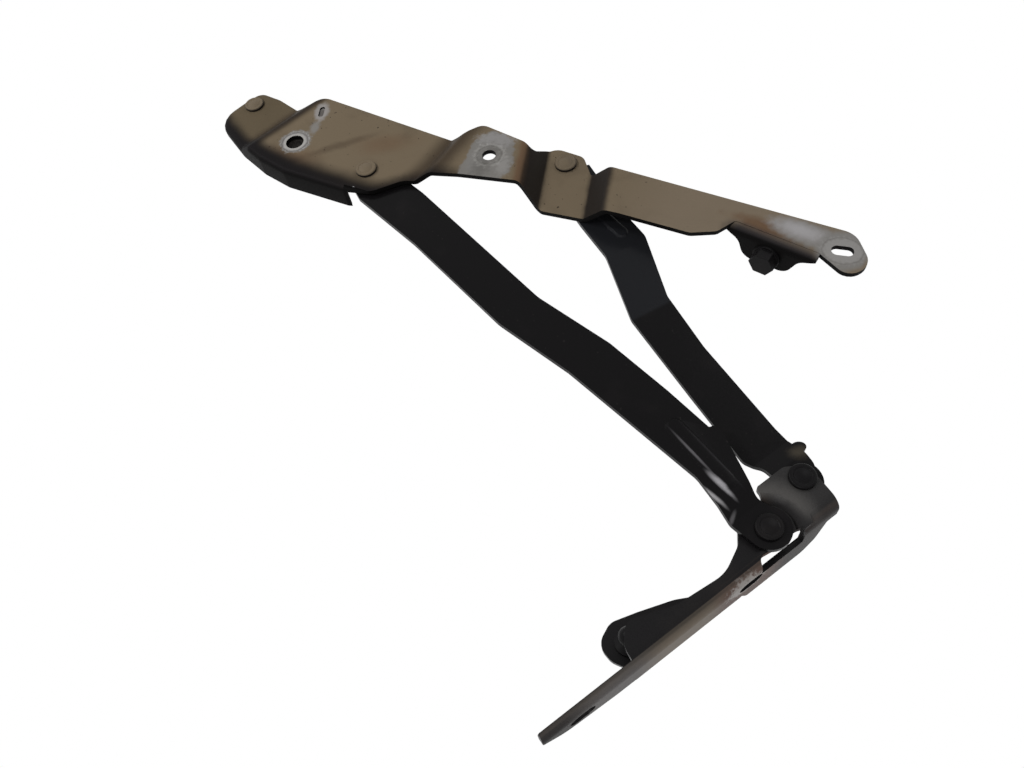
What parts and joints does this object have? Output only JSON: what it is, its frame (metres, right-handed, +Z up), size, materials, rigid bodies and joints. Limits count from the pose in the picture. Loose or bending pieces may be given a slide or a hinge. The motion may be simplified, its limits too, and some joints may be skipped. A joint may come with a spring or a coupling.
{
  "type": "trunk lid hinge",
  "caption": "Trunk lid hinge: slotted angle bracket for the body, two stamped links on rivets, and a long stepped lid bracket with ball stud and adjustable stop bolt.",
  "frame": {"origin": "middle of the line between the two foot slots, on the underside of the foot", "axes": "+X along the foot towards the short link's pivot, +Y from the web to the rear wall, +Z up off the car body"},
  "size_m": [0.2914, 0.052, 0.468],
  "materials": {
    "lid_coat": "satin",
    "black_coat": "satin",
    "zinc_plate": "satin"
  },
  "bodies": {
    "body_bracket": {"body_bracket": "black_coat", "pivot_rivet_a": "black_coat", "pivot_rivet_b": "black_coat", "washer_a": "zinc_plate", "body_ball_stud": "zinc_plate"},
    "short_link": {"short_link": "black_coat", "short_bush_a": "zinc_plate", "short_bush_c": "zinc_plate"},
    "long_link": {"long_link": "black_coat", "long_bush_b": "zinc_plate"},
    "lid_bracket": {"lid_bracket": "lid_coat", "pivot_rivet_c": "black_coat", "pivot_rivet_d": "black_coat", "washer_c": "zinc_plate", "washer_d": "zinc_plate", "spacer_d": "zinc_plate", "lid_ball_stud": "zinc_plate", "stop_bolt": "black_coat", "stop_nut": "zinc_plate", "lid_weld_nut": "zinc_plate"}
  },
  "joints": [
    {"name": "short_pivot", "type": "hinge", "parent": "body_bracket", "child": "short_link", "pos_m": [0.1, -0.0106, 0.021], "axis": [0, -1, 0], "range_deg": [0, 79]},
    {"name": "lid_pivot", "type": "hinge", "parent": "short_link", "child": "lid_bracket", "pos_m": [0.1407, -0.0106, 0.2636], "axis": [0, -1, 0], "range_deg": [-27.8, 0]},
    {"name": "long_pivot", "type": "hinge", "parent": "body_bracket", "child": "long_link", "pos_m": [0.07, -0.014, 0.012], "axis": [0, -1, 0], "range_deg": [0, 73.2]}
  ],
  "couplings": [
    {"joint": "lid_pivot", "follows": "short_pivot", "ratio": -0.351},
    {"joint": "long_pivot", "follows": "short_pivot", "ratio": 0.926}
  ]
}
